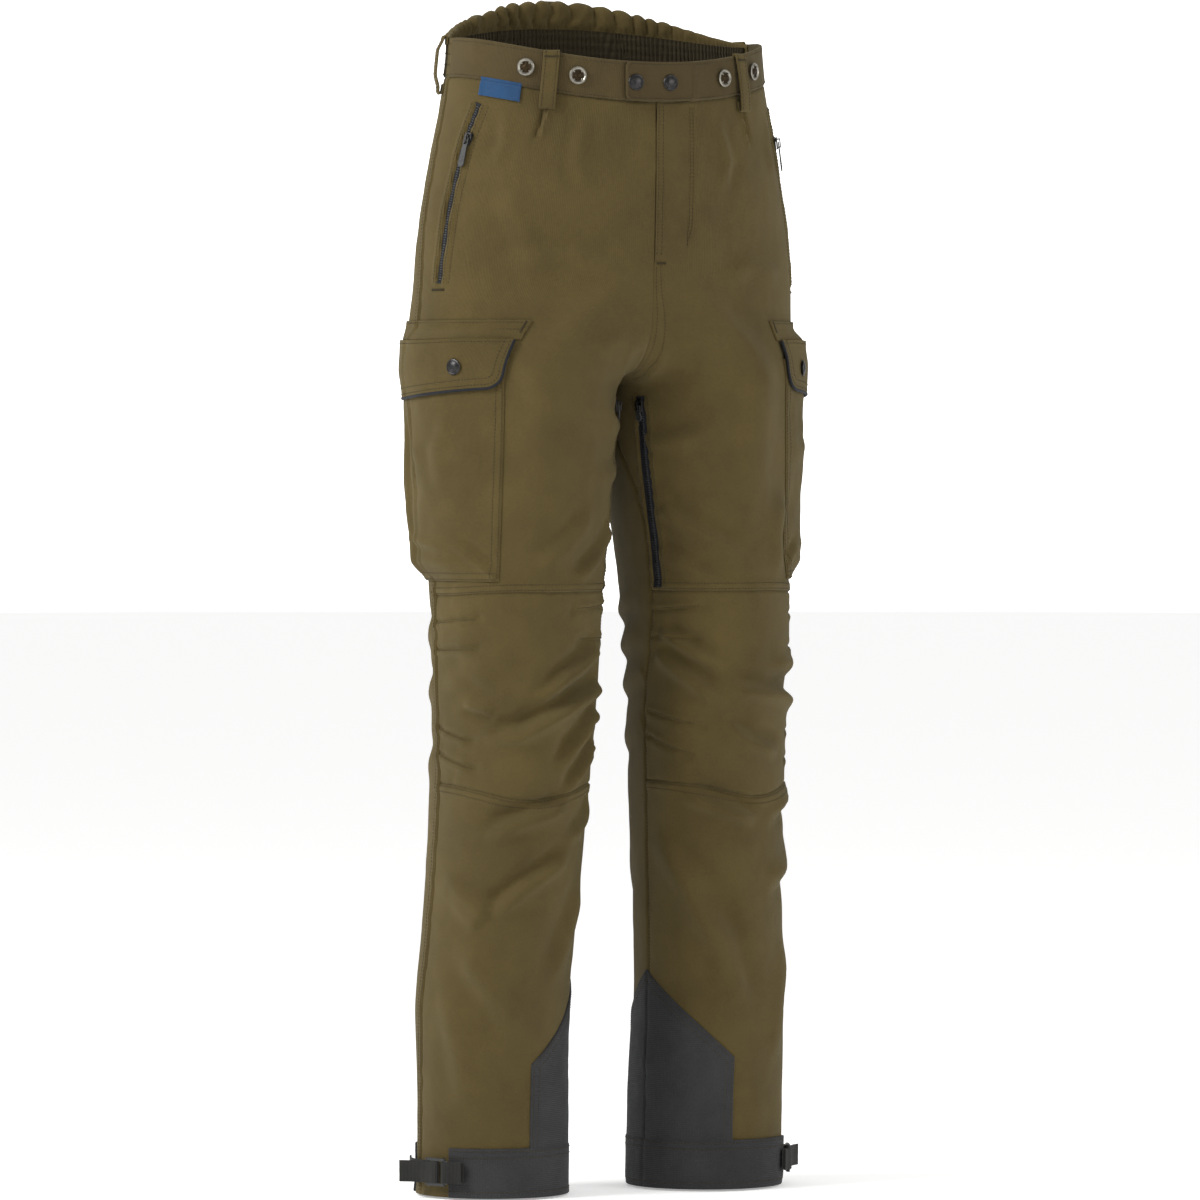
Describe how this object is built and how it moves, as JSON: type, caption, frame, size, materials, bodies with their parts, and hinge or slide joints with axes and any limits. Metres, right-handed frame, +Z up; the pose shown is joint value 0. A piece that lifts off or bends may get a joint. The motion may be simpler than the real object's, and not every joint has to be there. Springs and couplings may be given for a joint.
{
  "type": "forestry trousers",
  "caption": "Full-length forestry work trousers with thigh pockets, leg vents, brace buttons, ankle patches and hem straps",
  "frame": {"origin": "middle of the waist opening, level with the top of the front waistband", "axes": "+Z up, -Y the front of the wearer, +X the wearer's left"},
  "size_m": [0.4172, 0.2547, 1.1151],
  "materials": {
    "shell": "matt, tightly woven cotton and polyester, olive",
    "lining": "matt, light woven lining, dark olive",
    "reinforcement": "matt, coarse woven abrasion cloth, charcoal",
    "elastic": "matt, gathered elastic webbing, dark olive",
    "pad": "matt, loose cut-resistant fibre layers, off-white",
    "zip": "satin, moulded coil on woven tape, black",
    "gunmetal": "satin, dark plated",
    "nickel": "bright nickel plated",
    "plastic": "satin, moulded, dark grey",
    "webbing": "matt, ribbed woven webbing, black"
  },
  "bodies": {
    "root": {"front_panel_right": "shell", "front_panel_left": "shell", "knee_panel_right": "shell", "knee_panel_left": "shell", "shin_panel_right": "shell", "shin_panel_left": "shell", "back_panel_right": "shell", "back_panel_left": "shell", "waistband_right": "shell", "waistband_left": "shell", "waistband_back": "shell", "cargo_pocket_right": "shell", "cargo_pocket_left": "shell", "belt_loop_front_right": "shell", "belt_loop_front_left": "shell", "belt_loop_side_right": "shell", "belt_loop_side_left": "shell", "belt_loop_back": "shell", "kick_patch_right": "reinforcement", "kick_patch_left": "reinforcement", "hem_band_right": "reinforcement", "hem_band_left": "reinforcement", "fly_shield": "lining", "pocket_bag_right": "lining", "pocket_bag_left": "lining", "waist_elastic": "elastic", "protection_pad_right": "pad", "protection_pad_left": "pad", "fly_zip": "zip", "pocket_zip_right": "zip", "pocket_zip_left": "zip", "vent_zip_right": "zip", "vent_zip_left": "zip", "ladder_lock_right": "plastic", "ladder_lock_left": "plastic", "brace_button_inner_right": "nickel", "brace_button_inner_left": "nickel", "brace_button_outer_right": "nickel", "brace_button_outer_left": "nickel", "hem_strap_right": "webbing", "hem_strap_left": "webbing"},
    "fly_flap": {"fly_placket": "shell", "waist_tab": "shell", "tab_snap_end": "gunmetal", "tab_snap_inner": "gunmetal"},
    "fly_slider": {"fly_slider": "gunmetal"},
    "cargo_flap_right": {"cargo_flap_right": "shell", "flap_snap_right": "gunmetal"},
    "pocket_slider_right": {"pocket_slider_right": "gunmetal"},
    "pocket_pull_right": {"pocket_pull_right": "plastic"},
    "vent_slider_right": {"vent_slider_right": "gunmetal"},
    "vent_pull_right": {"vent_pull_right": "plastic"},
    "strap_tail_right": {"strap_tail_right": "webbing"},
    "cargo_flap_left": {"cargo_flap_left": "shell", "flap_snap_left": "gunmetal"},
    "pocket_slider_left": {"pocket_slider_left": "gunmetal"},
    "pocket_pull_left": {"pocket_pull_left": "plastic"},
    "vent_slider_left": {"vent_slider_left": "gunmetal"},
    "vent_pull_left": {"vent_pull_left": "plastic"},
    "strap_tail_left": {"strap_tail_left": "webbing"}
  },
  "joints": [
    {"name": "fly_flap_hinge", "type": "hinge", "parent": "root", "child": "fly_flap", "pos_m": [0.0336, -0.108, -0.002], "axis": [0, 0, 1], "range_deg": [0, 75]},
    {"name": "fly_slider_slide", "type": "slide", "parent": "root", "child": "fly_slider", "axis": [0, 0.0286, -0.9996], "range_m": [-0.001, 0.115]},
    {"name": "cargo_flap_hinge_right", "type": "hinge", "parent": "root", "child": "cargo_flap_right", "pos_m": [-0.20247, -0.02335, -0.2552], "axis": [-0.2613, 0.9653, 0], "range_deg": [0, 100]},
    {"name": "pocket_slider_slide_right", "type": "slide", "parent": "root", "child": "pocket_slider_right", "axis": [-0.1923, 0.1141, -0.9747], "range_m": [-0.028, 0.125]},
    {"name": "pocket_pull_hinge_right", "type": "hinge", "parent": "pocket_slider_right", "child": "pocket_pull_right", "pos_m": [-0.16018, -0.04123, -0.07047], "axis": [-0.433, 0.8814, 0.1886], "range_deg": [0, 160]},
    {"name": "vent_slider_slide_right", "type": "slide", "parent": "root", "child": "vent_slider_right", "axis": [-0.0894, -0.0303, -0.9955], "range_m": [-0.002, 0.158]},
    {"name": "vent_pull_hinge_right", "type": "hinge", "parent": "vent_slider_right", "child": "vent_pull_right", "pos_m": [-0.01077, -0.05126, -0.31735], "axis": [-0.4653, -0.8825, 0.0686], "range_deg": [0, 160]},
    {"name": "strap_tail_slide_right", "type": "slide", "parent": "root", "child": "strap_tail_right", "axis": [-0.3997, 0.9167, 0], "range_m": [-0.002, 0.02]},
    {"name": "cargo_flap_hinge_left", "type": "hinge", "parent": "root", "child": "cargo_flap_left", "pos_m": [0.20247, -0.02335, -0.2552], "axis": [-0.2613, -0.9653, 0], "range_deg": [0, 100]},
    {"name": "pocket_slider_slide_left", "type": "slide", "parent": "root", "child": "pocket_slider_left", "axis": [0.1923, 0.1141, -0.9747], "range_m": [-0.028, 0.125]},
    {"name": "pocket_pull_hinge_left", "type": "hinge", "parent": "pocket_slider_left", "child": "pocket_pull_left", "pos_m": [0.16018, -0.04123, -0.07047], "axis": [-0.433, -0.8814, -0.1886], "range_deg": [0, 160]},
    {"name": "vent_slider_slide_left", "type": "slide", "parent": "root", "child": "vent_slider_left", "axis": [0.0894, -0.0303, -0.9955], "range_m": [-0.002, 0.158]},
    {"name": "vent_pull_hinge_left", "type": "hinge", "parent": "vent_slider_left", "child": "vent_pull_left", "pos_m": [0.01077, -0.05126, -0.31735], "axis": [-0.4653, 0.8825, -0.0686], "range_deg": [0, 160]},
    {"name": "strap_tail_slide_left", "type": "slide", "parent": "root", "child": "strap_tail_left", "axis": [0.3997, 0.9167, 0], "range_m": [-0.002, 0.02]}
  ]
}
